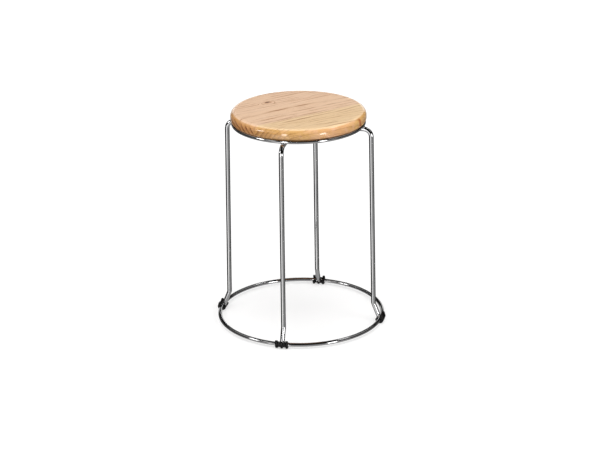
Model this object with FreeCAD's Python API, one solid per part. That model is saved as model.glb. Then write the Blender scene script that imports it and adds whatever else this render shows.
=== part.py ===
import FreeCAD, Part
import math
import os

# Stacking stool: a round solid wood seat on a welded chromed rod frame, with clip-on foot sleeves.
# Millimetres, +Z up, origin on the floor under the middle of the seat.
# The four legs stand on the X and Y axes: right 0, back 90, left 180 and front 270 degrees.

# Seat
overall_height = 460.0
seat_diameter = 280.0
seat_thickness = 22.0
seat_top_round = 12.0
seat_bottom_round = 5.0

# Rods and rings of the frame
leg_rod_diameter = 10.0
seat_ring_wire = 8.0
floor_ring_wire = 8.0
seat_ring_inset = 1.0
seat_ring_gap = 0.1
weld_sink = 1.0

# Line of a leg: how far it stands out past the seat ring, at its knee and at the floor ring
leg_top_straight = 1.2
leg_splay = 5.4
leg_foot_kick = 12.9
knee_height = 40.5
top_bend_radius = 16.0
knee_bend_radius = 17.0
leg_foot_inset = 2.5
leg_end_lift = 2.2

# Joggle that takes the lower cross bar under the upper one
joggle_flat = 11.0
joggle_run = 19.0
joggle_bend_radius = 20.0

# Seat tabs and their screws
tab_width = 18.0
tab_thickness = 2.0
tab_length = 28.0
tab_corner_radius = 6.0
screw_inset = 17.0
tab_hole_diameter = 4.6
screw_head_diameter = 8.0
screw_head_height = 3.0
screw_crown_height = 1.4
screw_crown_width = 5.6
screw_shank_diameter = 3.8
screw_length = 16.0
screw_tip_length = 3.0
screw_tip_diameter = 0.8
screw_hole_clearance = 0.1
screw_hole_spare_depth = 1.5
recess_width = 1.1
recess_span = 4.4
recess_depth = 1.6

# Foot sleeves
sleeve_length = 26.0
sleeve_wall = 2.4
sleeve_bore_clearance = 0.1
rib_height = 2.5
rib_width = 5.0
rib_crest_width = 2.4
rib_crest_height = 1.4
rib_end_bevel = 1.4
body_core_depth = 0.7
rib_core_depth = 1.1
sole_flat_depth = 0.5
sleeve_leg_clearance = 0.3
lip_lean = 17.0
body_lip_length = 2.6
body_end_angle = 160.0
rib_lip_length = 7.6
rib_end_angle = 168.0
lip_gap_width = 13.0
lip_gap_height = 6.0

# Values worked out from the sizes above
leg_rod_radius = leg_rod_diameter / 2
seat_underside = overall_height - seat_thickness
seat_ring_radius = seat_diameter / 2 - seat_ring_inset - seat_ring_wire / 2
seat_ring_height = seat_underside - seat_ring_gap - seat_ring_wire / 2
bar_height = seat_ring_height - seat_ring_wire / 2 - leg_rod_radius + weld_sink
low_bar_height = bar_height - leg_rod_diameter + weld_sink
leg_top_radius = seat_ring_radius + top_bend_radius + leg_top_straight
knee_radius = leg_top_radius + leg_splay
leg_aim_radius = knee_radius + leg_foot_kick
floor_ring_radius = leg_aim_radius + leg_foot_inset
bore_radius = floor_ring_wire / 2 + sleeve_bore_clearance
sleeve_radius = bore_radius + sleeve_wall
rib_radius = sleeve_radius + rib_height
body_core_radius = bore_radius - body_core_depth
rib_core_radius = bore_radius - rib_core_depth
floor_ring_height = rib_radius - sole_flat_depth
tab_underside = seat_underside - tab_thickness
tab_inner_radius = seat_ring_radius - tab_length
screw_circle_radius = seat_ring_radius - screw_inset
screw_hole_radius = screw_shank_diameter / 2 + screw_hole_clearance

UP = FreeCAD.Vector(0, 0, 1)
ORIGIN = FreeCAD.Vector(0, 0, 0)
WIRE_AXIS = FreeCAD.Vector(0, -1, 0)
LEG_ANGLES = {"right": 0, "back": 90, "left": 180, "front": 270}
TAB_ANGLES = {"back_right": 45, "back_left": 135, "front_left": 225, "front_right": 315}


def section_point(radius, height):
    """Point in the XZ plane, which is the section plane for everything that is revolved."""
    return FreeCAD.Vector(radius, 0, height)


def arc_point(radius, degrees):
    """Point in the XZ plane at a radius and an angle."""
    angle = math.radians(degrees)
    return section_point(radius * math.cos(angle), radius * math.sin(angle))


def turned(shape, degrees):
    """Copy of a shape turned about the stool's vertical middle line."""
    copy = shape.copy()
    copy.rotate(ORIGIN, UP, degrees)
    return copy


def line(start, end):
    """Straight edge between two points."""
    return Part.LineSegment(start, end).toShape()


def arc_about(centre, radius, start_degrees, end_degrees):
    """Arc edge in the XZ plane about a centre, from one angle to another through their middle."""
    middle_degrees = (start_degrees + end_degrees) / 2
    start, middle, end = (
        centre + arc_point(radius, degrees) for degrees in (start_degrees, middle_degrees, end_degrees)
    )
    return Part.Arc(start, middle, end).toShape()


def ring(radius, wire, height):
    """Closed ring of round wire."""
    return Part.makeTorus(radius, wire / 2, FreeCAD.Vector(0, 0, height), UP)


def bent_rod(corners, bend_radii, rod_radius):
    """Round rod along straight runs that are joined by tangent bends at the inner corners."""
    edges = []
    run_start = corners[0]
    for index, bend_radius in enumerate(bend_radii, start=1):
        corner = corners[index]
        back = (corners[index - 1] - corner).normalize()
        ahead = (corners[index + 1] - corner).normalize()
        half_opening = back.getAngle(ahead) / 2
        reach = bend_radius / math.tan(half_opening)
        bisector = (back + ahead).normalize()
        bend_middle = corner + bisector * (bend_radius / math.sin(half_opening) - bend_radius)
        bend_start = corner + back * reach
        bend_end = corner + ahead * reach
        edges.append(line(run_start, bend_start))
        edges.append(Part.Arc(bend_start, bend_middle, bend_end).toShape())
        run_start = bend_end
    edges.append(line(run_start, corners[-1]))
    path = Part.Wire(edges)
    start_direction = corners[1] - corners[0]
    circle = Part.Wire(Part.makeCircle(rod_radius, corners[0], start_direction))
    return path.makePipeShell([circle], True, False)


def seat():
    """Solid wood disc with rounded rims and four blind screw holes in its underside."""
    rim = seat_diameter / 2
    top_centre = section_point(rim - seat_top_round, overall_height - seat_top_round)
    bottom_centre = section_point(rim - seat_bottom_round, seat_underside + seat_bottom_round)
    edges = [
        line(section_point(0, seat_underside), section_point(bottom_centre.x, seat_underside)),
        arc_about(bottom_centre, seat_bottom_round, -90, 0),
        line(section_point(rim, bottom_centre.z), section_point(rim, top_centre.z)),
        arc_about(top_centre, seat_top_round, 0, 90),
        line(section_point(top_centre.x, overall_height), section_point(0, overall_height)),
        line(section_point(0, overall_height), section_point(0, seat_underside)),
    ]
    disc = Part.Face(Part.Wire(edges)).revolve(ORIGIN, UP, 360)
    hole_depth = screw_length - tab_thickness + screw_hole_spare_depth
    hole_place = section_point(screw_circle_radius, seat_underside)
    hole = Part.makeCylinder(screw_hole_radius, hole_depth, hole_place, UP)
    for degrees in TAB_ANGLES.values():
        disc = disc.cut(turned(hole, degrees))
    return disc


def leg_foot_direction():
    """Unit direction of a leg's last run, from the knee down and out to the floor ring."""
    knee = section_point(knee_radius, knee_height)
    return (section_point(leg_aim_radius, floor_ring_height) - knee).normalize()


def leg_end():
    """Middle of a leg's sawn end, a little above the middle of the floor ring."""
    aim = section_point(leg_aim_radius, floor_ring_height)
    return aim - leg_foot_direction() * leg_end_lift


def leg_frame(bar_middle_height):
    """Two opposite legs and their cross bar, bent from one rod, in the XZ plane."""
    half = [
        leg_end(),
        section_point(knee_radius, knee_height),
        section_point(leg_top_radius, bar_height),
    ]
    bends = [knee_bend_radius, top_bend_radius]
    if bar_middle_height < bar_height:
        half.append(section_point(joggle_flat + joggle_run, bar_height))
        half.append(section_point(joggle_flat, bar_middle_height))
        bends.extend([joggle_bend_radius, joggle_bend_radius])
    other_half = [FreeCAD.Vector(-point.x, 0, point.z) for point in reversed(half)]
    rod = bent_rod(half + other_half, bends + bends[::-1], leg_rod_radius)
    rod = rod.cut(ring(floor_ring_radius, floor_ring_wire, floor_ring_height))
    return rod.cut(ring(seat_ring_radius, seat_ring_wire, seat_ring_height))


def seat_tab():
    """Flat steel tab on the seat ring's inner side, with rounded inner corners and a screw hole."""
    half_width = tab_width / 2
    outer = seat_ring_radius
    plate = Part.makeBox(
        outer - tab_inner_radius,
        tab_width,
        tab_thickness,
        FreeCAD.Vector(tab_inner_radius, -half_width, tab_underside),
    )
    inner_edges = [
        edge
        for edge in plate.Edges
        if edge.BoundBox.ZLength > tab_thickness / 2 and edge.BoundBox.XMax < outer - tab_corner_radius
    ]
    plate = plate.makeFillet(tab_corner_radius, inner_edges)
    hole_place = section_point(screw_circle_radius, tab_underside)
    plate = plate.cut(Part.makeCylinder(tab_hole_diameter / 2, tab_thickness, hole_place, UP))
    return plate.cut(ring(seat_ring_radius, seat_ring_wire, seat_ring_height))


def seat_screw():
    """Pan head screw with a pointed end, driven up through its tab into the seat."""
    head_radius = screw_head_diameter / 2
    shank_radius = screw_shank_diameter / 2
    outline = [
        section_point(0, -screw_head_height),
        section_point(screw_crown_width / 2, -screw_head_height),
        section_point(head_radius, screw_crown_height - screw_head_height),
        section_point(head_radius, 0),
        section_point(shank_radius, 0),
        section_point(shank_radius, screw_length - screw_tip_length),
        section_point(screw_tip_diameter / 2, screw_length),
        section_point(0, screw_length),
        section_point(0, -screw_head_height),
    ]
    screw = Part.Face(Part.makePolygon(outline)).revolve(ORIGIN, UP, 360)
    for degrees in (0, 90):
        slot = Part.makeBox(
            recess_span,
            recess_width,
            recess_depth,
            FreeCAD.Vector(-recess_span / 2, -recess_width / 2, -screw_head_height),
        )
        screw = screw.cut(turned(slot, degrees))
    screw.translate(section_point(screw_circle_radius, tab_underside))
    return screw


def lip_direction():
    """Unit direction of a sleeve's snap lip, which leans in over the wire."""
    return arc_point(1, 90 + lip_lean)


def sleeve_body():
    """Plain wall of a foot sleeve: a J section that follows the floor ring.

    The section goes from its rounded inner end under the wire to the rounded end of the snap lip.
    Its angles are about the middle of the wire and count from outward.
    """
    half_wall = (sleeve_radius - body_core_radius) / 2
    end_centre = arc_point(body_core_radius + half_wall, body_end_angle)
    lip_rise = lip_direction() * body_lip_length
    lip_centre = arc_point(body_core_radius + half_wall, lip_lean) + lip_rise
    edges = [
        arc_about(ORIGIN, body_core_radius, lip_lean, body_end_angle - 360),
        arc_about(end_centre, half_wall, body_end_angle - 180, body_end_angle),
        arc_about(ORIGIN, sleeve_radius, body_end_angle - 360, lip_lean),
        line(arc_point(sleeve_radius, lip_lean), arc_point(sleeve_radius, lip_lean) + lip_rise),
        arc_about(lip_centre, half_wall, lip_lean, lip_lean + 180),
        line(arc_point(body_core_radius, lip_lean) + lip_rise, arc_point(body_core_radius, lip_lean)),
    ]
    section = Part.Face(Part.Wire(edges))
    section.translate(section_point(floor_ring_radius, floor_ring_height))
    sweep = math.degrees((sleeve_length - rib_width) / floor_ring_radius)
    return turned(section, -sweep / 2).revolve(ORIGIN, UP, sweep)


def sleeve_rib():
    """One rib of a foot sleeve with a bevelled crest, at the middle of the right foot."""
    corners = [
        (rib_core_radius, rib_width / 2),
        (rib_radius - rib_crest_height, rib_width / 2),
        (rib_radius, rib_crest_width / 2),
    ]
    points = [FreeCAD.Vector(radius, half_width, 0) for radius, half_width in corners]
    points += [FreeCAD.Vector(radius, -half_width, 0) for radius, half_width in reversed(corners)]
    profile = Part.Face(Part.makePolygon(points + points[:1]))
    start = profile.copy()
    start.rotate(ORIGIN, WIRE_AXIS, rib_end_angle)
    bend = start.revolve(ORIGIN, WIRE_AXIS, 360 + lip_lean - rib_end_angle)
    profile.rotate(ORIGIN, WIRE_AXIS, lip_lean)
    rib = bend.fuse(profile.extrude(lip_direction() * rib_lip_length)).removeSplitter()
    middle_radius = (rib_core_radius + rib_radius) / 2
    ends = (
        arc_point(middle_radius, rib_end_angle),
        arc_point(middle_radius, lip_lean) + lip_direction() * rib_lip_length,
    )
    crest_edges = []
    for face in rib.Faces:
        if min((face.CenterOfMass - end).Length for end in ends) < rib_width / 4:
            crest_edges.extend(
                edge
                for edge in face.Edges
                if abs(edge.CenterOfMass.y) < rib_width / 4 and edge.CenterOfMass.Length > sleeve_radius
            )
    rib = rib.makeChamfer(rib_end_bevel, crest_edges)
    rib.translate(section_point(floor_ring_radius, floor_ring_height))
    return rib


def leg_notch():
    """Room for the leg's end in the inner wall of the right foot sleeve."""
    direction = leg_foot_direction()
    start = leg_end() + direction * sleeve_leg_clearance
    radius = leg_rod_radius + sleeve_leg_clearance
    return Part.makeCylinder(radius, 4 * rib_radius, start, direction * -1)


def lip_gap():
    """Gap between the side ribs' lips, where the middle rib stops level with the plain lip."""
    corner = FreeCAD.Vector(
        floor_ring_radius - rib_radius,
        -lip_gap_width / 2,
        floor_ring_height + lip_gap_height,
    )
    return Part.makeBox(2 * rib_radius, lip_gap_width, 2 * rib_radius, corner)


def foot_sleeve():
    """Moulded sleeve that snaps over the floor ring at the foot of the right leg."""
    sleeve = sleeve_body()
    rib = sleeve_rib()
    side_rib_turn = math.degrees((sleeve_length - rib_width) / 2 / floor_ring_radius)
    for degrees in (-side_rib_turn, 0, side_rib_turn):
        sleeve = sleeve.fuse(turned(rib, degrees))
    sleeve = sleeve.cut(ring(floor_ring_radius, 2 * bore_radius, floor_ring_height))
    sleeve = sleeve.cut(leg_notch())
    sleeve = sleeve.cut(lip_gap())
    floor_corner = FreeCAD.Vector(0, -sleeve_length, -rib_radius)
    below_floor = Part.makeBox(2 * floor_ring_radius, 2 * sleeve_length, rib_radius, floor_corner)
    return sleeve.cut(below_floor)


def build():
    """Every piece of the stool under its node name."""
    pieces = {
        "seat": seat(),
        "seat_ring": ring(seat_ring_radius, seat_ring_wire, seat_ring_height),
        "floor_ring": ring(floor_ring_radius, floor_ring_wire, floor_ring_height),
    }
    upper_frame = leg_frame(bar_height)
    lower_frame = turned(leg_frame(low_bar_height), 90).cut(upper_frame)
    pieces["leg_frame_left_right"] = upper_frame
    pieces["leg_frame_front_back"] = lower_frame
    tab = seat_tab()
    screw = seat_screw()
    for place, degrees in TAB_ANGLES.items():
        pieces["seat_tab_" + place] = turned(tab, degrees)
        pieces["seat_screw_" + place] = turned(screw, degrees)
    sleeve = foot_sleeve()
    for place, degrees in LEG_ANGLES.items():
        pieces["foot_sleeve_" + place] = turned(sleeve, degrees)
    return pieces


os.makedirs("parts", exist_ok=True)
for name, shape in build().items():
    shape.exportStep("parts/" + name + ".step")
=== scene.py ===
import math

import bmesh
import bpy
from mathutils import Matrix, Vector


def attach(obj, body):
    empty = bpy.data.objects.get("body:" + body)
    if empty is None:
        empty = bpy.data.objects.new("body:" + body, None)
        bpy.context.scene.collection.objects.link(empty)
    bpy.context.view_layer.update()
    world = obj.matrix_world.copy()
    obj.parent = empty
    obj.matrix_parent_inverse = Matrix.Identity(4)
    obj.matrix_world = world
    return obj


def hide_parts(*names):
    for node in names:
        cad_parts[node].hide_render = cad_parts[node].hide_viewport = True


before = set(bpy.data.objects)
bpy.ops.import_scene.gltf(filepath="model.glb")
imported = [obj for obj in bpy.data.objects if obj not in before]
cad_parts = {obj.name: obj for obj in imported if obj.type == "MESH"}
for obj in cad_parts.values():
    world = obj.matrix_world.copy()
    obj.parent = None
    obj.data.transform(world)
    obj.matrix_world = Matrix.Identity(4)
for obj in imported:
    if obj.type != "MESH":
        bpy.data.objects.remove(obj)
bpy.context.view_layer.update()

# Looks of the stacking stool: varnished wood seat, chromed rod frame, black foot sleeves.
# Metres, +Z up, legs on the X and Y axes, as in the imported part.

print("frame loaded:", len(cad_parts), "nodes")

shared = {
    "height": 0.460,
    "seatUnderside": 0.438,
    "seatRingRadius": 0.135,
    "seatRingHeight": 0.4339,
    "floorRingRadius": 0.173,
    "floorRingHeight": 0.0085,
    "wireRadius": 0.004,
    "rodRadius": 0.005,
    "barHeight": 0.4259,
    "lowBarHeight": 0.4169,
}
tabAngles = [45, 135, 225, 315]
fullTurn = 6.283  # radians, for ripples and random turns


# Small helpers.

def rgb(red, green, blue):  # a colour as seen on screen, 0 to 255, made linear for a node
    def linear(part):
        part = part / 255
        return part / 12.92 if part < 0.04045 else ((part + 0.055) / 1.055) ** 2.4

    return (linear(red), linear(green), linear(blue), 1)


class Lead:  # one socket of a node tree, so that sums on it read as plain maths
    def __init__(self, maker, socket):
        self.maker = maker
        self.socket = socket

    def sum(self, operation, *others):
        return self.maker.node("ShaderNodeMath", {"operation": operation}, [self, *others])

    def __add__(self, other):
        return self.sum("ADD", other)

    __radd__ = __add__

    def __mul__(self, other):
        return self.sum("MULTIPLY", other)

    __rmul__ = __mul__

    def __sub__(self, other):
        return self.sum("SUBTRACT", other)

    def __rsub__(self, other):
        return self.maker.node("ShaderNodeMath", {"operation": "SUBTRACT"}, [other, self])

    def __truediv__(self, other):
        return self.sum("DIVIDE", other)

    def __pow__(self, other):
        return self.sum("POWER", other)

    def __gt__(self, other):
        return self.sum("GREATER_THAN", other)

    def root(self):
        return self.sum("SQRT")

    def size(self):
        return self.sum("ABSOLUTE")

    def part(self):
        return self.sum("FRACT")

    def wave(self):
        return self.sum("SINE")


class NodeMaker:  # adds nodes to a shader or geometry tree
    def __init__(self, tree):
        self.tree = tree

    def node(self, kind, settings, values, out=0):
        made = self.tree.nodes.new(kind)
        for name, setting in settings.items():
            if name == "stops":
                ramp = made.color_ramp
                while len(ramp.elements) < len(setting):
                    ramp.elements.new(1)
                for element, (place, colour) in zip(ramp.elements, setting):
                    element.position = place
                    element.color = colour
            else:
                setattr(made, name, setting)
        pairs = values.items() if isinstance(values, dict) else enumerate(values)
        for name, value in pairs:
            if isinstance(value, Lead):
                self.tree.links.new(value.socket, made.inputs[name])
            else:
                made.inputs[name].default_value = value
        return Lead(self, made.outputs[out]) if len(made.outputs) else made

    def mix(self, share, first, second, blend="MIX"):
        settings = {"data_type": "RGBA", "blend_type": blend}
        return self.node("ShaderNodeMix", settings, {0: share, 6: first, 7: second}, 2)

    def between(self, value, low, high):  # 0 at low, 1 at high, smooth
        settings = {"interpolation_type": "SMOOTHSTEP"}
        return self.node("ShaderNodeMapRange", settings, {0: value, 1: low, 2: high})

    def noise(self, place, scale, detail=3, roughness=0.5):
        values = {"Vector": place, "Scale": scale, "Detail": detail, "Roughness": roughness}
        return self.node("ShaderNodeTexNoise", {}, values)

    def stretched(self, place, scale):
        return self.node("ShaderNodeVectorMath", {"operation": "MULTIPLY"}, [place, scale])


class Finish(NodeMaker):  # a material and its shader tree
    def __init__(self, name, **plain):
        self.material = bpy.data.materials.new(name)
        self.material.use_nodes = True
        super().__init__(self.material.node_tree)
        self.shader = self.tree.nodes["Principled BSDF"]
        for socket, value in plain.items():
            self.shader.inputs[socket.replace("_", " ")].default_value = value
        self.place = self.node("ShaderNodeTexCoord", {}, {}, "Object")

    def feed(self, socket, lead):
        self.tree.links.new(lead.socket, self.shader.inputs[socket])

    def bump(self, height, distance, strength=1.0):
        values = {"Height": height, "Distance": distance, "Strength": strength}
        self.feed("Normal", self.node("ShaderNodeBump", {}, values, "Normal"))


class ShapeTree(NodeMaker):  # a Geometry Nodes tree with named inputs
    def __init__(self, name, inputs):
        super().__init__(bpy.data.node_groups.new(name, "GeometryNodeTree"))
        face = self.tree.interface
        face.new_socket(name="Geometry", in_out="INPUT", socket_type="NodeSocketGeometry")
        for label, kind in inputs.items():
            face.new_socket(name=label, in_out="INPUT", socket_type="NodeSocket" + kind)
        face.new_socket(name="Geometry", in_out="OUTPUT", socket_type="NodeSocketGeometry")
        self.entry = self.tree.nodes.new("NodeGroupInput")

    def given(self, label):
        return Lead(self, self.entry.outputs[label])

    def close(self, shape):
        shape = self.node("GeometryNodeRealizeInstances", {}, {"Geometry": shape})
        values = {"Geometry": shape, "Material": self.given("Material")}
        shape = self.node("GeometryNodeSetMaterial", {}, values)
        self.node("NodeGroupOutput", {}, {"Geometry": shape})

    def run(self, piece, values):  # the evaluated result as a plain mesh piece
        modifier = piece.modifiers.new(self.tree.name, "NODES")
        modifier.node_group = self.tree
        for item in self.tree.interface.items_tree:
            if item.in_out == "INPUT" and item.name in values:
                modifier[item.identifier] = values[item.name]
        return settled(piece)


def settled(piece):
    bpy.context.view_layer.update()
    depsgraph = bpy.context.evaluated_depsgraph_get()
    mesh = bpy.data.meshes.new_from_object(piece.evaluated_get(depsgraph), depsgraph=depsgraph)
    piece.modifiers.clear()
    piece.data = mesh
    mesh.name = piece.name
    return piece


def newPiece(name, points=(), edges=(), faces=()):
    mesh = bpy.data.meshes.new(name)
    mesh.from_pydata([tuple(point) for point in points], edges, faces)
    piece = bpy.data.objects.new(name, mesh)
    bpy.context.scene.collection.objects.link(piece)
    return piece


def dressed(piece, nodes, finish=None):
    if finish:
        piece.data.materials.clear()
        piece.data.materials.append(finish.material)
    for polygon in piece.data.polygons:
        polygon.use_smooth = True
    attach(piece, "root")
    if nodes:
        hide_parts(*nodes)
    return piece


def pieceFrom(name, mesh):  # a new piece that takes over a bmesh
    piece = newPiece(name)
    mesh.to_mesh(piece.data)
    mesh.free()
    return piece


def turnedPoint(point, degrees):
    return Matrix.Rotation(math.radians(degrees), 3, "Z") @ Vector(point)


def revolved(name, profile, steps):  # profile of (radius, height) from the axis back to the axis
    mesh = bmesh.new()
    rows = []
    for radius, height in profile:
        if radius == 0:
            rows.append([mesh.verts.new((0, 0, height))])
        else:
            angles = (2 * math.pi * step / steps for step in range(steps))
            rows.append([
                mesh.verts.new((radius * math.cos(angle), radius * math.sin(angle), height))
                for angle in angles
            ])
    for lower, upper in zip(rows, rows[1:]):
        for step in range(steps):
            following = (step + 1) % steps
            corners = [lower[step % len(lower)], lower[following % len(lower)]]
            corners += [upper[following % len(upper)], upper[step % len(upper)]]
            corners = list(dict.fromkeys(corners))
            mesh.faces.new(corners)
    bmesh.ops.recalc_face_normals(mesh, faces=mesh.faces)
    return pieceFrom(name, mesh)


def addDrill(mesh, radius, depth, place, sides):  # an upright cylinder that cuts a round hole
    bmesh.ops.create_cone(
        mesh, cap_ends=True, segments=sides, radius1=radius, radius2=radius,
        depth=depth, matrix=Matrix.Translation(place),
    )


def cutBy(piece, cutter):
    modifier = piece.modifiers.new("cut", "BOOLEAN")
    modifier.operation = "DIFFERENCE"
    modifier.solver = "EXACT"
    modifier.object = cutter
    settled(piece)
    bpy.data.objects.remove(cutter)
    return piece


# Camera at the photograph's viewing angle.

camera = {
    "lens": 110.225,  # millimetres, as the sensor's width
    "distance": 3.59877,  # level distance from the stool's middle line
    "height": 1.60057,
    "azimuth": 13.45,
    "down": 21.41,
    "roll": -0.784,
    "sensor": 36,
    "clipEnd": 60,
}


def makeCamera():
    made = bpy.data.objects.new("photoCamera", bpy.data.cameras.new("photoCamera"))
    bpy.context.scene.collection.objects.link(made)
    made.data.lens = camera["lens"]
    made.data.sensor_width = camera["sensor"]
    made.data.clip_end = camera["clipEnd"]
    around = math.radians(camera["azimuth"])
    place = Matrix.Translation((
        camera["distance"] * math.sin(around),
        -camera["distance"] * math.cos(around),
        camera["height"],
    ))
    tilt = Matrix.Rotation(math.radians(90 - camera["down"]), 4, "X")
    roll = Matrix.Rotation(math.radians(camera["roll"]), 4, "Z")
    made.matrix_world = place @ (Matrix.Rotation(around, 4, "Z") @ tilt) @ roll
    bpy.context.scene.camera = made


makeCamera()
print("camera set")


# Wood seat.

seat = {
    "radius": 0.140,
    "topRound": 0.012,
    "bottomRound": 0.005,
    "roundSteps": 14,
    "around": 360,
    "undersideRows": (0.3, 0.6, 0.8, 0.9),  # points in the flat faces, as shares of the radius
    "topRows": (0.88, 0.8, 0.6, 0.4, 0.2),
    "screwCircle": 0.118,
    "holeRadius": 0.002,
    "holeDepth": 0.0155,
    "holeSides": 24,
    "drillSpare": 0.001,
    "grainAngle": 46.5,
    "knot": (-0.074, 0.034),
    "boards": (-0.043, 0.038),  # glue lines, measured across the grain
    "pith": 0.16,  # how far the first board's heart lies off the middle line
    "pithShift": 0.21,
    "ringWidth": 0.0088,
    "spike": (0.1365, -0.031),  # a darker spot in the rim's side
}
woodColours = {
    "pale": rgb(250, 226, 192),
    "deep": rgb(235, 201, 159),
    "firstBoard": rgb(255, 250, 240),
    "lastBoard": rgb(255, 245, 250),
    "lateWood": rgb(172, 122, 84),
    "fleck": rgb(166, 116, 80),
    "knotHalo": rgb(182, 122, 78),
    "knotCore": rgb(84, 50, 34),
    # Painted shade: the seat's sides are tinted darker than its top; on end grain this is also the
    # wood's own deeper tone.
    "longSideShade": rgb(238, 206, 174),
    "endSideToneAndShade": rgb(230, 207, 150),
    "endGrain": rgb(216, 164, 96),
    "endLine": rgb(146, 84, 42),
    "blotch": rgb(240, 190, 156),
    "spike": rgb(176, 98, 46),
    "pore": rgb(150, 104, 70),
    # painted shade for the seat's underside
    "under": rgb(206, 188, 168),
}


def woodFinish():
    finish = Finish("varnishedWood", Coat_Weight=0.9, Coat_Roughness=0.06, Coat_IOR=1.6)
    angle = math.radians(seat["grainAngle"])
    values = {"Vector": finish.place, "Rotation": (0, 0, -angle)}
    along = finish.node("ShaderNodeMapping", {}, values)
    u, v, w = (finish.node("ShaderNodeSeparateXYZ", {}, [along], axis) for axis in range(3))
    normal = finish.node("ShaderNodeNewGeometry", {}, {}, "Normal")
    facing = finish.node("ShaderNodeSeparateXYZ", {}, [normal], 2)
    grainDirection = (math.cos(angle), math.sin(angle), 0)
    settings = {"operation": "DOT_PRODUCT"}
    endOn = finish.node("ShaderNodeVectorMath", settings, [normal, grainDirection], "Value").size()

    board = (v > seat["boards"][0]) + (v > seat["boards"][1])
    boardPlace = finish.node("ShaderNodeCombineXYZ", {}, [board * 3.1, board * 1.7, board * 2.3])
    grainPlace = finish.node("ShaderNodeVectorMath", {"operation": "ADD"}, [along, boardPlace])
    drift = finish.noise(finish.stretched(grainPlace, (3.2, 11, 11)), 1, 2) - 0.5
    broad = finish.noise(finish.stretched(grainPlace, (5, 34, 34)), 1, 3)
    fibre = finish.noise(finish.stretched(grainPlace, (16, 420, 420)), 1, 4, 0.65)
    streak = finish.noise(finish.stretched(grainPlace, (22, 130, 130)), 1, 3)
    pores = finish.noise(finish.stretched(grainPlace, (90, 1500, 1500)), 1, 1)

    knotX, knotY = seat["knot"]
    knotU = knotX * math.cos(angle) + knotY * math.sin(angle)
    knotV = knotY * math.cos(angle) - knotX * math.sin(angle)
    fromKnot = (((u - knotU) * 0.6) ** 2 + (v - knotV) ** 2).root()
    knotHalo = 1 - finish.between(fromKnot, 0.001, 0.017)
    knotCore = 1 - finish.between(fromKnot, 0.0018, 0.0046)

    pithAcross = v + seat["pith"] - board * seat["pithShift"] + drift * 0.03
    pithBelow = w - 0.385 + board * 0.014 + drift * 0.02
    fromPith = (pithAcross ** 2 + pithBelow ** 2).root()
    growth = (fromPith / seat["ringWidth"] + knotHalo * 2.6 + broad * 1.5).part()
    lateWood = finish.between(growth, 0.68, 0.92) * (1 - finish.between(growth, 0.94, 1.0))
    broadWood = finish.between(growth, 0.3, 0.75) * (1 - finish.between(growth, 0.9, 1.0))
    broken = finish.between(streak, 0.42, 0.6)
    flecks = finish.noise(finish.stretched(grainPlace, (30, 430, 430)), 1, 2)
    fleck = finish.between(flecks, 0.56, 0.68)
    blotch = finish.between(finish.noise(finish.place, 62, 3), 0.48, 0.62)
    spikeX, spikeY = seat["spike"]
    x, y = (finish.node("ShaderNodeSeparateXYZ", {}, [finish.place], axis) for axis in range(2))
    fromSpike = ((x - spikeX + drift * 0.004) ** 2 + (y - spikeY + drift * 0.02) ** 2).root()
    spike = 1 - finish.between(fromSpike, 0.0015, 0.0075)

    side = 1 - finish.between(facing, 0.76, 0.91)
    under = finish.between(facing * -1, 0.3, 0.9)
    endGrain = side * endOn ** 2

    tone = broad * 0.7 + fibre * 0.5 - 0.1
    hues = woodColours
    colour = finish.mix(tone, hues["pale"], hues["deep"])
    tint = finish.mix(finish.between(board, 0, 1.2), hues["firstBoard"], hues["lastBoard"])
    colour = finish.mix(1.0, colour, tint, "MULTIPLY")
    lineShare = lateWood * (0.2 + broken * 0.7) * (1 - side * 0.55)
    colour = finish.mix(lineShare, colour, hues["lateWood"])
    colour = finish.mix(fleck * (0.12 + broken * 0.3), colour, hues["fleck"])
    colour = finish.mix(knotHalo ** 3 * 0.5, colour, hues["knotHalo"])
    colour = finish.mix(knotCore * 0.85, colour, hues["knotCore"])
    # Painted shade: the seat's sides are made darker than the top; where a side cuts across the
    # grain, part of it is the end grain's own tone.
    sideShadeAndEndTone = finish.mix(finish.between(endOn, 0.05, 0.5), hues["longSideShade"], hues["endSideToneAndShade"])
    colour = finish.mix(side * 0.9, colour, sideShadeAndEndTone, "MULTIPLY")
    colour = finish.mix(endGrain * 0.4, colour, hues["endGrain"], "MULTIPLY")
    endLines = broadWood * 0.55 + lateWood * (0.2 + broken * 0.5)
    colour = finish.mix(side * endOn ** 5 * endLines, colour, hues["endLine"], "MULTIPLY")
    colour = finish.mix(side * blotch * (1 - endOn) * 0.5, colour, hues["blotch"])
    colour = finish.mix(side * spike * 0.95, colour, hues["spike"])
    poreShare = finish.between(pores, 0.62, 0.72) * 0.22
    colour = finish.mix(poreShare, colour, hues["pore"])
    # Painted shade: the underside is darkened, as shade falls under the seat. The same mask also
    # makes the bare underside rougher, with less varnish.
    colour = finish.mix(under * 0.8, colour, hues["under"], "MULTIPLY")
    finish.feed("Base Color", colour)
    finish.feed("Roughness", 0.36 + fibre * 0.12 + under * 0.25)
    finish.feed("Coat Weight", 0.92 - under * 0.7)
    finish.bump(fibre * 0.5 + lateWood * 0.3 + pores * 0.4, 0.00004)
    return finish


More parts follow.
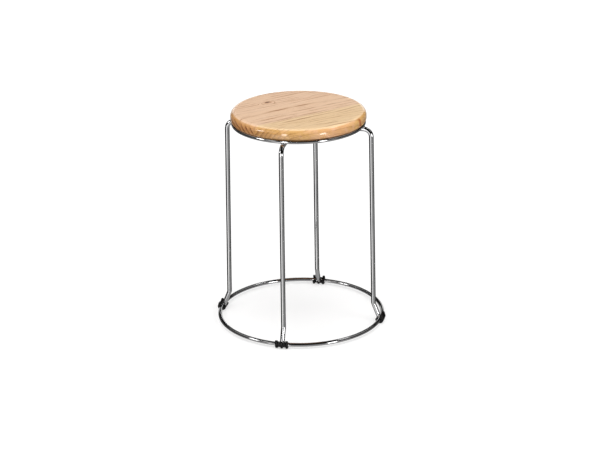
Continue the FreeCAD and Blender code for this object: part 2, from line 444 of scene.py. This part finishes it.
def makeSeat():
    rim, top, base = seat["radius"], shared["height"], shared["seatUnderside"]
    profile = [(0, base)]
    profile += [(rim * share, base) for share in seat["undersideRows"]]
    for centreHeight, roundness, start in (
        (base + seat["bottomRound"], seat["bottomRound"], -90),
        (top - seat["topRound"], seat["topRound"], 0),
    ):
        for step in range(seat["roundSteps"] + 1):
            angle = math.radians(start + 90 * step / seat["roundSteps"])
            radius = rim - roundness + roundness * math.cos(angle)
            profile.append((radius, centreHeight + roundness * math.sin(angle)))
    profile += [(rim * share, top) for share in seat["topRows"]]
    profile.append((0, top))
    piece = revolved("woodSeat", profile, seat["around"])
    holes = bmesh.new()
    middle = base - seat["drillSpare"] + seat["holeDepth"] / 2
    for degrees in tabAngles:
        place = turnedPoint((seat["screwCircle"], 0, middle), degrees)
        depth = seat["holeDepth"] + 2 * seat["drillSpare"]
        addDrill(holes, seat["holeRadius"], depth, place, seat["holeSides"])
    return cutBy(piece, pieceFrom("screwHoles", holes))


dressed(makeSeat(), ["seat"], woodFinish())
print("seat made")


# Chromed rings and leg frames.

chrome = {
    "colour": rgb(207, 208, 210),
    "hazed": rgb(196, 197, 200),
    "roughness": 0.06,
}
ring = {
    "steps": 256,
    "wireSides": 28,
}
legFrame = {
    "legTop": 0.1522,
    "knee": (0.1576, 0.0405),
    "aim": 0.1705,
    "endLift": 0.0022,
    "topBend": 0.016,
    "kneeBend": 0.017,
    "joggleFlat": 0.011,
    "joggleRun": 0.019,
    "joggleBend": 0.020,
    "roundSides": 32,
    "bendSteps": 18,
}


def chromeFinish():
    finish = Finish("chromePlate", Metallic=1.0)
    cloud = finish.noise(finish.place, 38, 4)
    fine = finish.noise(finish.place, 900, 2)
    wipe = finish.noise(finish.stretched(finish.place, (240, 240, 14)), 1, 3)
    colour = finish.mix(finish.between(cloud, 0.35, 0.75), chrome["colour"], chrome["hazed"])
    finish.feed("Base Color", colour)
    wiped = finish.between(wipe, 0.45, 0.8)
    finish.feed("Roughness", chrome["roughness"] + wiped * 0.06 + fine * 0.02)
    finish.bump(cloud * 0.6 + fine * 0.02, 0.00002)
    return finish


chromePlate = chromeFinish()


def ringTree():
    tree = ShapeTree("wireRing", {
        "Ring radius": "Float", "Wire radius": "Float", "Height": "Float",
        "Steps": "Int", "Material": "Material",
    })
    path = tree.node("GeometryNodeCurvePrimitiveCircle", {}, {
        "Resolution": tree.given("Steps"), "Radius": tree.given("Ring radius"),
    })
    wire = tree.node("GeometryNodeCurvePrimitiveCircle", {}, {
        "Resolution": ring["wireSides"], "Radius": tree.given("Wire radius"),
    })
    shape = tree.node("GeometryNodeCurveToMesh", {}, {"Curve": path, "Profile Curve": wire})
    lift = tree.node("ShaderNodeCombineXYZ", {}, {"Z": tree.given("Height")})
    shape = tree.node("GeometryNodeTransform", {}, {"Geometry": shape, "Translation": lift})
    tree.close(shape)
    return tree


def rodTree():
    tree = ShapeTree("bentRod", {
        "Rod radius": "Float", "Bend steps": "Int", "Sides": "Int", "Material": "Material",
    })
    path = tree.node("GeometryNodeMeshToCurve", {}, {"Mesh": tree.given("Geometry")})
    values = {"Name": "bendRadius"}
    bend = tree.node("GeometryNodeInputNamedAttribute", {"data_type": "FLOAT"}, values)
    path = tree.node("GeometryNodeFilletCurve", {"mode": "POLY"}, {
        "Curve": path, "Count": tree.given("Bend steps"), "Radius": bend, "Limit Radius": True,
    })
    rod = tree.node("GeometryNodeCurvePrimitiveCircle", {}, {
        "Resolution": tree.given("Sides"), "Radius": tree.given("Rod radius"),
    })
    values = {"Curve": path, "Profile Curve": rod, "Fill Caps": True}
    tree.close(tree.node("GeometryNodeCurveToMesh", {}, values))
    return tree


def footDirection():
    knee = Vector((legFrame["knee"][0], 0, legFrame["knee"][1]))
    return (Vector((legFrame["aim"], 0, shared["floorRingHeight"])) - knee).normalized()


def legEnd():
    aim = Vector((legFrame["aim"], 0, shared["floorRingHeight"]))
    return aim - footDirection() * legFrame["endLift"]


def rodLine(barHeight):
    end = legEnd()
    half = [(end.x, end.z), legFrame["knee"], (legFrame["legTop"], shared["barHeight"])]
    bends = [0, legFrame["kneeBend"], legFrame["topBend"]]
    if barHeight < shared["barHeight"]:
        half.append((legFrame["joggleFlat"] + legFrame["joggleRun"], shared["barHeight"]))
        half.append((legFrame["joggleFlat"], barHeight))
        bends += [legFrame["joggleBend"]] * 2
    points = half + [(-x, z) for x, z in reversed(half)]
    return points, bends + bends[::-1]


def makeLegFrame(name, tree, barHeight, degrees):
    line, bends = rodLine(barHeight)
    points = [turnedPoint((x, 0, z), degrees) for x, z in line]
    piece = newPiece(name, points, [(step, step + 1) for step in range(len(points) - 1)])
    attribute = piece.data.attributes.new("bendRadius", "FLOAT", "POINT")
    attribute.data.foreach_set("value", bends)
    return tree.run(piece, {
        "Rod radius": shared["rodRadius"], "Bend steps": legFrame["bendSteps"],
        "Sides": legFrame["roundSides"], "Material": chromePlate.material,
    })


def makeFrame():
    rings = ringTree()
    for name, node, radius, height in (
        ("seatRing", "seat_ring", shared["seatRingRadius"], shared["seatRingHeight"]),
        ("floorRing", "floor_ring", shared["floorRingRadius"], shared["floorRingHeight"]),
    ):
        piece = rings.run(newPiece(name), {
            "Ring radius": radius, "Wire radius": shared["wireRadius"], "Height": height,
            "Steps": ring["steps"], "Material": chromePlate.material,
        })
        dressed(piece, [node])
    rods = rodTree()
    for name, node, barHeight, degrees in (
        ("legFrameLeftRight", "leg_frame_left_right", shared["barHeight"], 0),
        ("legFrameFrontBack", "leg_frame_front_back", shared["lowBarHeight"], 90),
    ):
        dressed(makeLegFrame(name, rods, barHeight, degrees), [node])


makeFrame()
print("rings and leg frames made")


# Weld beads.

weld = {
    "footBead": 0.0011,
    "topBead": 0.0010,
    "buttBead": 0.00055,
    "ripple": 0.0016,
    "step": 0.0004,
    "sides": 12,
    "footSteps": 48,
    "footLift": 0.0003,  # the bead's line lies this far off the floor ring
    "slide": (-0.009, 0.00025, 40),  # start, step and count of the places tried along the leg
    "loopSteps": 32,
    "crossReach": 0.0034,
    "butts": (72, 68),  # direction of the closing weld in the seat ring and in the floor ring
    "tabSeam": (0.1313, 0.4358),  # radius and height
    "tabSeamTurn": (-3.6, 0.45, 17),  # start, step and count of its points, in degrees off the tab
}


def beadTree():
    tree = ShapeTree("weldBead", {
        "Bead radius": "Float", "Step": "Float", "Ripple": "Float", "Seed": "Float",
        "Material": "Material",
    })
    path = tree.node("GeometryNodeMeshToCurve", {}, {"Mesh": tree.given("Geometry")})
    values = {"Curve": path, "Length": tree.given("Step")}
    path = tree.node("GeometryNodeResampleCurve", {"mode": "LENGTH"}, values)
    run = tree.node("GeometryNodeSplineParameter", {}, {}, "Length")
    place = tree.node("GeometryNodeInputPosition", {}, {})
    uneven = tree.node("ShaderNodeTexNoise", {"noise_dimensions": "4D"}, {
        "Vector": place, "W": tree.given("Seed"), "Scale": 420.0,
    })
    ripple = (run * fullTurn / tree.given("Ripple")).wave()
    width = tree.given("Bead radius") * (0.78 + ripple * 0.09 + uneven * 0.5)
    values = {"Resolution": weld["sides"], "Radius": 1.0}
    bead = tree.node("GeometryNodeCurvePrimitiveCircle", {}, values)
    values = {"Curve": path, "Profile Curve": bead, "Scale": width, "Fill Caps": True}
    tree.close(tree.node("GeometryNodeCurveToMesh", {}, values))
    return tree


def towardRing(point, radius, height):  # distance from a point to a ring's wire middle
    level = math.hypot(point.x, point.y)
    return math.hypot(level - radius, point.z - height)


def footLoop(degrees):  # where a leg's end meets the floor ring
    down = footDirection()
    across = Vector((0, 1, 0))
    third = down.cross(across)
    end = legEnd()
    start, stride, count = weld["slide"]
    loop = []

    def gapAt(point):
        level = towardRing(point, shared["floorRingRadius"], shared["floorRingHeight"])
        return abs(level - shared["wireRadius"] - weld["footLift"])

    for step in range(weld["footSteps"]):
        angle = 2 * math.pi * step / weld["footSteps"]
        offset = (across * math.cos(angle) + third * math.sin(angle)) * shared["rodRadius"]
        slides = (stride * mark + start for mark in range(count))
        reach = min((gapAt(end + offset + down * slide), slide) for slide in slides)[1]
        loop.append(turnedPoint(end + offset + down * reach, degrees))
    return loop


def crossLoop(centre, upperHeight, upperRadius, lowerHeight, lowerRadius, degrees):
    loop = []  # where a level rod crosses just under another one, at right angles
    for step in range(weld["loopSteps"]):
        angle = 2 * math.pi * step / weld["loopSteps"]
        x, y = weld["crossReach"] * math.cos(angle), weld["crossReach"] * math.sin(angle)
        above = upperHeight - math.sqrt(upperRadius ** 2 - x ** 2)
        below = lowerHeight + math.sqrt(lowerRadius ** 2 - y ** 2)
        loop.append(turnedPoint((centre + x, y, (above + below) / 2), degrees))
    return loop


def buttLoop(radius, height, degrees):  # a ring's own closing weld, around its wire
    loop = []
    for step in range(weld["loopSteps"]):
        angle = 2 * math.pi * step / weld["loopSteps"]
        x = radius + shared["wireRadius"] * math.cos(angle)
        loop.append(turnedPoint((x, 0, height + shared["wireRadius"] * math.sin(angle)), degrees))
    return loop


def makeBeads(name, tree, loops, closed, beadRadius, seed):
    points, edges = [], []
    for loop in loops:
        first = len(points)
        points += loop
        edges += [(first + step, first + step + 1) for step in range(len(loop) - 1)]
        if closed:
            edges.append((first + len(loop) - 1, first))
    piece = tree.run(newPiece(name, points, edges), {
        "Bead radius": beadRadius, "Step": weld["step"], "Ripple": weld["ripple"],
        "Seed": seed, "Material": chromePlate.material,
    })
    return dressed(piece, [])


def makeWelds():
    tree = beadTree()
    wire, rod = shared["wireRadius"], shared["rodRadius"]
    seatRing = (shared["seatRingRadius"], shared["seatRingHeight"])
    floorRing = (shared["floorRingRadius"], shared["floorRingHeight"])
    bar, lowBar = shared["barHeight"], shared["lowBarHeight"]
    legs = [90 * leg for leg in range(4)]
    feet = [footLoop(degrees) for degrees in legs]
    makeBeads("footWelds", tree, feet, True, weld["footBead"], 1.0)
    crossings = [crossLoop(*seatRing, wire, bar, rod, degrees) for degrees in legs]
    crossings.append(crossLoop(0, bar, rod, lowBar, rod, 90))
    makeBeads("barWelds", tree, crossings, True, weld["topBead"], 2.0)
    seatButt, floorButt = weld["butts"]
    butts = [buttLoop(*seatRing, seatButt), buttLoop(*floorRing, floorButt)]
    makeBeads("ringWelds", tree, butts, True, weld["buttBead"], 3.0)
    radius, height = weld["tabSeam"]
    start, stride, count = weld["tabSeamTurn"]
    tabSeams = []
    for degrees in tabAngles:
        marks = [degrees + start + stride * mark for mark in range(count)]
        tabSeams.append([turnedPoint((radius, 0, height), mark) for mark in marks])
    makeBeads("tabWelds", tree, tabSeams, False, weld["topBead"], 4.0)


makeWelds()
print("welds made")


# Seat tabs and screws.

tab = {
    "inner": 0.107,
    "outer": 0.1315,
    "halfWidth": 0.009,
    "thickness": 0.002,
    "corner": 0.006,
    "cornerSteps": 8,
    "holeRadius": 0.0023,
    "holeSides": 32,
    "drillDepth": 0.01,
    "edgeBevel": 0.0003,
    "bevelSteps": 2,
}
screw = {
    "headRadius": 0.004,
    "headHeight": 0.003,
    "crownSteps": 9,  # of 9 degrees each
    "crownShare": 0.98,
    "crownHeight": 0.0012,
    "rimHeight": 0.0014,
    "headEdge": 0.0002,
    "shankRadius": 0.0018,
    "plainShank": 0.003,
    "threads": 9,
    "threadRoot": 0.8,  # shares of the shank's radius
    "threadCrest": 1.02,
    "length": 0.016,
    "tip": 0.003,
    "tipRadius": 0.0004,
    "around": 48,
    "recessSpan": 0.0046,
    "recessWidth": 0.0011,
    "recessDepth": 0.0017,
    "recessTaper": 0.7,
}
fixing = {
    "count": 4,
    "firstTurn": 45,
    "seed": 7,
    "sharpAngle": 35,
}


def steelFinish(name, colour, dark, roughness):
    finish = Finish(name, Metallic=1.0)
    scratches = finish.noise(finish.stretched(finish.place, (1400, 120, 300)), 1, 3)
    stain = finish.noise(finish.place, 210, 4)
    finish.feed("Base Color", finish.mix(finish.between(stain, 0.4, 0.75), colour, dark))
    finish.feed("Roughness", roughness + scratches * 0.16 + stain * 0.08)
    finish.bump(scratches, 0.00003)
    return finish


def aroundTree():  # sets a shape at each of the four tab places
    tree = ShapeTree("aroundTheSeat", {
        "Shape": "Object", "Count": "Int", "First turn": "Float", "Reach": "Float",
        "Spin": "Float", "Seed": "Int", "Material": "Material",
    })
    values = {"Count": tree.given("Count"), "Offset": (0, 0, 0)}
    points = tree.node("GeometryNodeMeshLine", {}, values)
    turn = tree.node("GeometryNodeInputIndex", {}, {}) * (math.pi / 2) + tree.given("First turn")
    source = tree.node("GeometryNodeObjectInfo", {}, {"Object": tree.given("Shape")}, "Geometry")
    spun = tree.node("FunctionNodeRandomValue", {"data_type": "FLOAT"}, {
        2: 0.0, 3: fullTurn, "Seed": tree.given("Seed"),
    }, 1)
    upright = tree.node("ShaderNodeCombineXYZ", {}, {"Z": turn + spun * tree.given("Spin")})
    shift = tree.node("ShaderNodeCombineXYZ", {}, {
        "X": turn.sum("COSINE") * tree.given("Reach"), "Y": turn.wave() * tree.given("Reach"),
    })
    points = tree.node("GeometryNodeSetPosition", {}, {"Geometry": points, "Offset": shift})
    shape = tree.node("GeometryNodeInstanceOnPoints", {}, {
        "Points": points, "Instance": source, "Rotation": upright,
    })
    tree.close(shape)
    return tree


def makeTab():
    mesh = bmesh.new()
    outline = [(tab["outer"], -tab["halfWidth"]), (tab["outer"], tab["halfWidth"])]
    for centreSide, start in ((1, 90), (-1, 180)):
        for step in range(tab["cornerSteps"] + 1):
            angle = math.radians(start + 90 * step / tab["cornerSteps"])
            outline.append((
                tab["inner"] + tab["corner"] + tab["corner"] * math.cos(angle),
                centreSide * (tab["halfWidth"] - tab["corner"]) + tab["corner"] * math.sin(angle),
            ))
    base = shared["seatUnderside"] - tab["thickness"]
    face = mesh.faces.new([mesh.verts.new((x, y, base)) for x, y in outline])
    raised = bmesh.ops.extrude_face_region(mesh, geom=[face])["geom"]
    lift = [part for part in raised if isinstance(part, bmesh.types.BMVert)]
    bmesh.ops.translate(mesh, vec=(0, 0, tab["thickness"]), verts=lift)
    bmesh.ops.recalc_face_normals(mesh, faces=mesh.faces)
    piece = pieceFrom("tabShape", mesh)
    hole = bmesh.new()
    place = (seat["screwCircle"], 0, base + tab["thickness"] / 2)
    addDrill(hole, tab["holeRadius"], tab["drillDepth"], place, tab["holeSides"])
    cutBy(piece, pieceFrom("tabHole", hole))
    bevel = piece.modifiers.new("edge", "BEVEL")
    bevel.width = tab["edgeBevel"]
    bevel.segments = tab["bevelSteps"]
    bevel.limit_method = "ANGLE"
    return settled(piece)


def screwProfile():
    head, height, edge = screw["headRadius"], screw["headHeight"], screw["headEdge"]
    profile = [(0, -height)]
    for step in range(1, screw["crownSteps"] + 1):
        angle = math.radians(step * 9)
        rise = screw["crownHeight"] * (1 - math.cos(angle))
        profile.append((head * math.sin(angle) * screw["crownShare"], -height + rise))
    profile += [(head, -height + screw["rimHeight"]), (head, -edge), (head - edge, 0)]
    shank, plain = screw["shankRadius"], screw["plainShank"]
    root, crest = shank * screw["threadRoot"], shank * screw["threadCrest"]
    straight = screw["length"] - screw["tip"]
    pitch = (straight - plain) / screw["threads"]
    profile += [(shank, 0), (shank, plain)]
    for turn in range(screw["threads"]):
        start = plain + (straight - plain) * turn / screw["threads"]
        profile += [(root, start + pitch * 0.25), (crest, start + pitch * 0.75)]
    profile += [(root, straight), (screw["tipRadius"], screw["length"]), (0, screw["length"])]
    return profile


def makeScrew():
    piece = revolved("screwShape", screwProfile(), screw["around"])
    height = screw["headHeight"]
    span, width, depth = screw["recessSpan"], screw["recessWidth"], screw["recessDepth"]
    for turn in (0, 90):  # the two slots of the cross, cut one after the other
        recess = bmesh.new()
        place = Matrix.Translation((0, 0, -height)) @ Matrix.Rotation(math.radians(turn), 4, "Z")
        for corner in bmesh.ops.create_cube(recess, size=1.0)["verts"]:
            x, y, z = corner.co
            narrow = screw["recessTaper"] if z > 0 else 1.0
            corner.co = place @ Vector((x * span * narrow, y * width * narrow, z * 2 * depth))
        bmesh.ops.recalc_face_normals(recess, faces=recess.faces)
        cutBy(piece, pieceFrom("recessShape", recess))
    piece.data.transform(Matrix.Translation((0, 0, shared["seatUnderside"] - tab["thickness"])))
    return piece


def makeFixings():
    tree = aroundTree()
    shapes = (
        ("seatTabs", makeTab(), "tab_steel", "seat_tab_", 0.0, 0.0,
         steelFinish("platedTab", rgb(190, 190, 192), rgb(150, 149, 150), 0.18)),
        ("seatScrews", makeScrew(), "screw_steel", "seat_screw_", seat["screwCircle"], 1.0,
         steelFinish("zincScrew", rgb(186, 186, 182), rgb(146, 142, 132), 0.24)),
    )
    for name, shape, slot, prefix, reach, spin, finish in shapes:
        piece = tree.run(newPiece(name), {
            "Shape": shape, "Count": fixing["count"], "Reach": reach, "Spin": spin,
            "First turn": math.radians(fixing["firstTurn"]), "Seed": fixing["seed"],
            "Material": finish.material,
        })
        bpy.data.objects.remove(shape)
        nodes = [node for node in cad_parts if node.startswith(prefix)]
        dressed(piece, nodes)
        bpy.context.view_layer.update()
        piece.data.set_sharp_from_angle(angle=math.radians(fixing["sharpAngle"]))


makeFixings()
print("tabs and screws made")


# Foot sleeves.

sleeve = {
    "mergeGap": 0.00001,
    "voxel": 0.0003,
    "softness": 0.5,
    "softPasses": 5,
}


def plasticFinish():
    finish = Finish("footPlastic", Specular_IOR_Level=0.25)
    cloud = finish.noise(finish.place, 160, 4)
    pebble = finish.noise(finish.place, 2600, 2)
    height = finish.node("ShaderNodeSeparateXYZ", {}, [finish.place], 2)
    scuffed = (1 - finish.between(height, 0.0, 0.0022)) * finish.between(cloud, 0.35, 0.6)
    colour = finish.mix(cloud, rgb(7, 7, 8), rgb(13, 13, 14))
    finish.feed("Base Color", finish.mix(scuffed * 0.5, colour, rgb(70, 69, 67)))
    finish.feed("Roughness", 0.4 + cloud * 0.14 + scuffed * 0.2)
    finish.bump(pebble * 0.6 + cloud * 0.4, 0.00005)
    return finish


def makeSleeves():
    plastic = plasticFinish()
    first = bpy.data.objects.new("sleeveShape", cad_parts["foot_sleeve_right"].data.copy())
    bpy.context.scene.collection.objects.link(first)
    merge = first.modifiers.new("merge", "WELD")
    merge.merge_threshold = sleeve["mergeGap"]
    remesh = first.modifiers.new("even", "REMESH")
    remesh.mode = "VOXEL"
    remesh.voxel_size = sleeve["voxel"]
    soften = first.modifiers.new("soften", "SMOOTH")
    soften.factor = sleeve["softness"]
    soften.iterations = sleeve["softPasses"]
    settled(first)
    for name, node, degrees in (
        ("footSleeveRight", "foot_sleeve_right", 0),
        ("footSleeveBack", "foot_sleeve_back", 90),
        ("footSleeveLeft", "foot_sleeve_left", 180),
        ("footSleeveFront", "foot_sleeve_front", 270),
    ):
        mesh = first.data.copy()
        mesh.transform(Matrix.Rotation(math.radians(degrees), 4, "Z"))
        piece = bpy.data.objects.new(name, mesh)
        bpy.context.scene.collection.objects.link(piece)
        dressed(piece, [node], plastic)
    bpy.data.objects.remove(first)


makeSleeves()
print("foot sleeves made")


# Floor, light, and a glowing tent seen only in metal and varnish, which paints their reflections
# and highlights.

studio = {
    "floorSize": 30.0,
    "floorColour": (0.68, 0.68, 0.68, 1),
    "floorShown": (0.5, 0.5, 0.5, 1),
    "floorGlow": 0.56,
    "farGlow": 0.86,
    "farFrom": (0.5, 2.5),  # the floor pales to the backdrop between these distances
    "ambient": 0.55,
    "tentRadius": 5.0,
    "tentHeight": 0.3,
    "above": 0.01,  # level of the tent above the stool, and below it, steeply and less so
    "underfoot": 0.46,
    "below": 0.39,
    "slope": (-60, -20),  # between these heights in degrees the lower tent grows lighter
    "edge": (-5, 2),  # between these the lower tent turns into the upper one
    "openings": ((-107, 15, 1.5), (33, 42, 0.06), (172, 42, 0.01)),  # direction, half width, level
    "reach": (-21, 10, 16),  # height that the openings lie at, and how far off it they fade out
    # Glowing panels seen only in reflections: painted highlights on the varnish and the metal.
    "glowPanels": (  # direction, height and half sizes in degrees, then level
        (-145, 24, 6, 9, 9),
        (-99.6, 4, 4, 15, 9),
        (-36, -1, 6, 9, 11),
        (32.7, 58.6, 4, 6, 5),
        (-127, 35, 7, 7, 1.5),
        (103, 5, 24, 9, 0.9),
        (20, 42, 28, 13, 0.35),
        (-175, 42, 28, 13, 0.35),
    ),
    "softEdge": 1.5,
    "lamps": (  # name, place, height aimed at, size, power
        ("overheadLamp", (0.1, -0.2, 2.7), 0.3, 1.5, 32),
        ("keyLamp", (-1.5, -2.0, 2.1), 0.35, 1.2, 18),
        ("fillLamp", (2.5, -0.8, 1.5), 0.3, 1.4, 22),
    ),
}


def glow(maker, colour, strength):
    return maker.node("ShaderNodeEmission", {}, {"Color": colour, "Strength": strength})


def seenRays(maker):  # camera, glossy and transmission rays
    rays = [maker.node("ShaderNodeLightPath", {}, {}, name)
            for name in ("Is Camera Ray", "Is Glossy Ray", "Is Transmission Ray")]
    return rays[0].sum("MAXIMUM", rays[1]).sum("MAXIMUM", rays[2])


def makeFloor():
    finish = Finish("paleFloor")
    byCamera = finish.node("ShaderNodeLightPath", {}, {}, "Is Camera Ray")
    colour = finish.mix(byCamera, studio["floorColour"], studio["floorShown"])
    plain = finish.node("ShaderNodeBsdfDiffuse", {}, {"Color": colour})
    away = finish.node("ShaderNodeVectorMath", {"operation": "LENGTH"}, [finish.place], "Value")
    paler = studio["farGlow"] - studio["floorGlow"]
    pale = finish.between(away, *studio["farFrom"]) * paler + studio["floorGlow"]
    lit = glow(finish, (1, 1, 1, 1), seenRays(finish) * pale)
    both = finish.node("ShaderNodeAddShader", {}, [plain, lit])
    behind = finish.node("ShaderNodeNewGeometry", {}, {}, "Backfacing")
    clear = finish.node("ShaderNodeBsdfTransparent", {}, {})
    shown = finish.node("ShaderNodeMixShader", {}, [behind, both, clear])
    finish.tree.nodes.remove(finish.shader)
    finish.tree.links.new(shown.socket, finish.tree.nodes["Material Output"].inputs["Surface"])
    half = studio["floorSize"] / 2
    corners = [(-half, -half, 0), (half, -half, 0), (half, half, 0), (-half, half, 0)]
    floor = newPiece("floor", corners, [], [(0, 1, 2, 3)])
    floor.data.materials.append(finish.material)
    floor.visible_glossy = False


def makeWorld():
    world = bpy.data.worlds.new("studioWorld")
    world.use_nodes = True
    bpy.context.scene.world = world
    maker = NodeMaker(world.node_tree)
    seen = seenRays(maker)
    background = world.node_tree.nodes["Background"]
    background.inputs["Color"].default_value = (1, 1, 1, 1)
    level = seen * (1 - studio["ambient"]) + studio["ambient"]
    world.node_tree.links.new(level.socket, background.inputs["Strength"])


def tentFinish():  # painted reflections: a glowing grey all round, lighter below, with openings and soft glowing panels for painted highlights
    finish = Finish("studioTent")
    middle = (0, 0, -studio["tentHeight"])
    place = finish.node("ShaderNodeVectorMath", {"operation": "ADD"}, [finish.place, middle])
    x, y, z = (finish.node("ShaderNodeSeparateXYZ", {}, [place], axis) for axis in range(3))
    around = y.sum("ARCTAN2", x) * (180 / math.pi)
    level = (x ** 2 + y ** 2).root()
    up = z.sum("ARCTAN2", level) * (180 / math.pi)

    def inside(off, half):  # 1 where off is less than half, with a soft edge
        return 1 - finish.between(off.size(), half - studio["softEdge"], half + studio["softEdge"])

    def within(middleAngle, halfWidth):
        return inside(((around - middleAngle + 900) / 360).part() * 360 - 180, halfWidth)

    share = finish.between(up, *studio["slope"])
    shade = share * studio["below"] + (1 - share) * studio["underfoot"]
    reach, *fade = studio["reach"]
    nearReach = 1 - finish.between((up - reach).size(), *fade)
    for direction, halfWidth, strength in studio["openings"]:
        share = within(direction, halfWidth) * nearReach
        shade = share * strength + (1 - share) * shade
    share = finish.between(up, *studio["edge"])
    shade = share * studio["above"] + (1 - share) * shade
    for direction, height, halfWidth, halfTall, strength in studio["glowPanels"]:
        tall = inside(up - height, halfTall)
        share = within(direction, halfWidth / math.cos(math.radians(height))) * tall
        shade = share * strength + (1 - share) * shade
    lit = glow(finish, (1, 0.985, 0.965, 1), shade)
    finish.tree.nodes.remove(finish.shader)
    finish.tree.links.new(lit.socket, finish.tree.nodes["Material Output"].inputs["Surface"])
    finish.material.cycles.emission_sampling = "NONE"
    return finish


def makeTent():  # glows, and is seen in metal and varnish and nowhere else: painted reflections
    ball = bmesh.new()
    place = Matrix.Translation((0, 0, studio["tentHeight"]))
    bmesh.ops.create_uvsphere(
        ball, u_segments=96, v_segments=48, radius=studio["tentRadius"], matrix=place,
    )
    bmesh.ops.reverse_faces(ball, faces=ball.faces)
    tent = pieceFrom("studioTent", ball)
    tent.data.materials.append(tentFinish().material)
    tent.visible_camera = False
    tent.visible_diffuse = False
    tent.visible_transmission = False
    tent.visible_volume_scatter = False
    tent.visible_shadow = False


def makeLamp(name, place, aimHeight, size, power):
    data = bpy.data.lights.new(name, "AREA")
    data.shape = "SQUARE"
    data.size = size
    data.energy = power
    lamp = bpy.data.objects.new(name, data)
    bpy.context.scene.collection.objects.link(lamp)
    lamp.location = place
    toward = Vector((0, 0, aimHeight)) - Vector(place)
    lamp.rotation_euler = toward.to_track_quat("-Z", "Y").to_euler()
    lamp.visible_glossy = False


makeFloor()
makeWorld()
makeTent()
for lampValues in studio["lamps"]:
    makeLamp(*lampValues)
bpy.context.scene.view_settings.view_transform = "Standard"
print("floor and light set")
